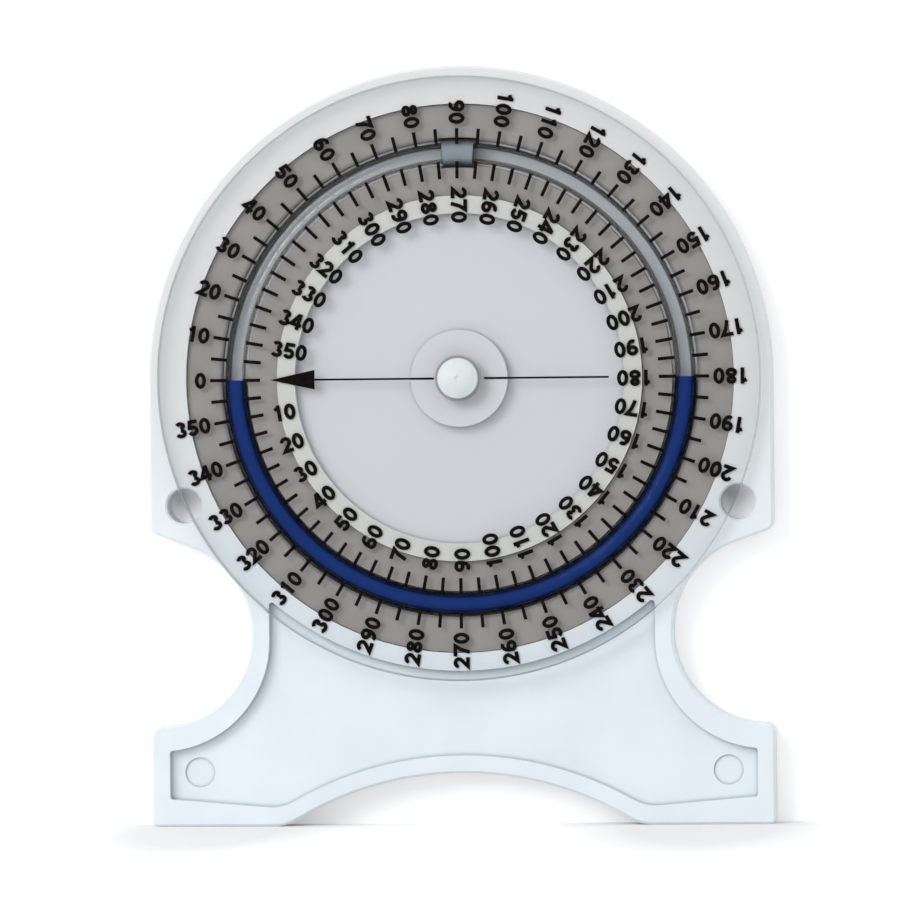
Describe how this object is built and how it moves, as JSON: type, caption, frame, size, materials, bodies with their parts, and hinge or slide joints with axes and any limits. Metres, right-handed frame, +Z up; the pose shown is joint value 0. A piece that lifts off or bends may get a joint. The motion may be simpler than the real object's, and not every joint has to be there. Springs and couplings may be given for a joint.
{
  "type": "inclinometer",
  "caption": "Bubble inclinometer: white two-footed stand, clear turning degree dial, ring of tube half full of blue fluid that stays level.",
  "frame": {"origin": "on the plane of the feet, below the dial's centre, at half the depth", "axes": "+Z up along the stand's height, +X to the right as the dial is read, -Y out of the dial"},
  "size_m": [0.1018, 0.0116, 0.1237],
  "materials": {
    "moulded_white": "satin moulded styrene, milky white",
    "moulded_grey": "matt moulded",
    "clear_tube": "clear extruded tube",
    "blue_fluid": "dyed fluid",
    "clear_acrylic": "clear polished",
    "black_ink": "screen printed",
    "white_nylon": "moulded",
    "grey_nylon": "stamped",
    "plated_steel": "zinc plated"
  },
  "bodies": {
    "stand": {"base_plate": "moulded_white", "tube_backing_ring": "moulded_grey", "fluid_tube": "clear_tube", "tube_joint_sleeve": "clear_tube", "pivot_rivet": "white_nylon", "head_washer": "grey_nylon", "rear_washer": "plated_steel", "spring_washer": "plated_steel", "push_nut": "plated_steel"},
    "dial": {"dial_disc": "clear_acrylic", "outer_degree_marks": "black_ink", "inner_degree_marks": "black_ink", "zero_arrow": "black_ink"},
    "fluid": {"indicator_fluid": "blue_fluid"}
  },
  "joints": [
    {"name": "dial_turn", "type": "hinge", "parent": "stand", "child": "dial", "pos_m": [0, -0.00263, 0.0728], "axis": [0, -1, 0], "continuous": true},
    {"name": "fluid_level", "type": "hinge", "parent": "stand", "child": "fluid", "pos_m": [0, 0.00122, 0.0728], "axis": [0, -1, 0], "continuous": true}
  ]
}
